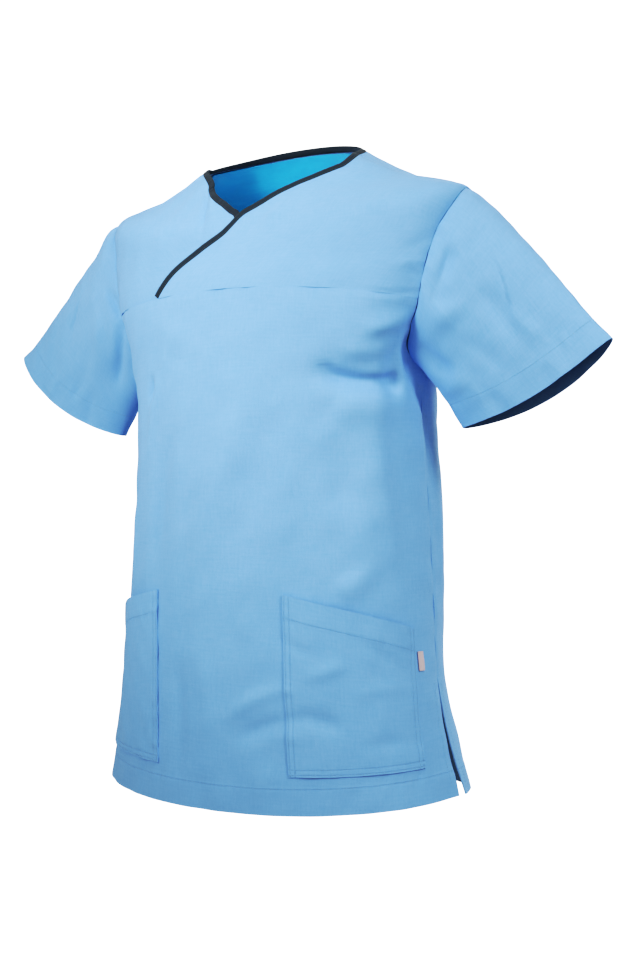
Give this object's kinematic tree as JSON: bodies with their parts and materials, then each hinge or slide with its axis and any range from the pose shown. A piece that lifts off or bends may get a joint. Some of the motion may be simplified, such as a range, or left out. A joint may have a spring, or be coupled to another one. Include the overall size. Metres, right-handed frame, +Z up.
{
  "type": "work blouse",
  "caption": "Short-sleeved crossover tunic with a bound neck, chest yoke, slanted patch pockets and side slits, filled out as when worn.",
  "frame": {"origin": "midway between the two neck ends of the shoulder seams, where the wearer's shoulders carry the garment", "axes": "+X to the wearer's left, -Y the way the wearer faces, +Z up"},
  "size_m": [0.8005, 0.2983, 0.7654],
  "materials": {
    "outer_cloth": "light blue polyester and cotton twill, matt",
    "edging": "dark navy bias binding, matt",
    "neck_knit": "turquoise fine knit, matt",
    "label_tape": "pale woven tape, bare"
  },
  "bodies": {
    "root": {"front_body": "outer_cloth", "front_yoke_left": "outer_cloth", "front_yoke_right": "outer_cloth", "back_body": "outer_cloth", "sleeve_left": "outer_cloth", "sleeve_right": "outer_cloth", "pocket_left": "outer_cloth", "pocket_right": "outer_cloth", "binding_wrap": "edging", "binding_under": "edging", "binding_back_neck": "edging", "back_neck_facing": "neck_knit", "label_tab": "label_tape"}
  },
  "joints": []
}
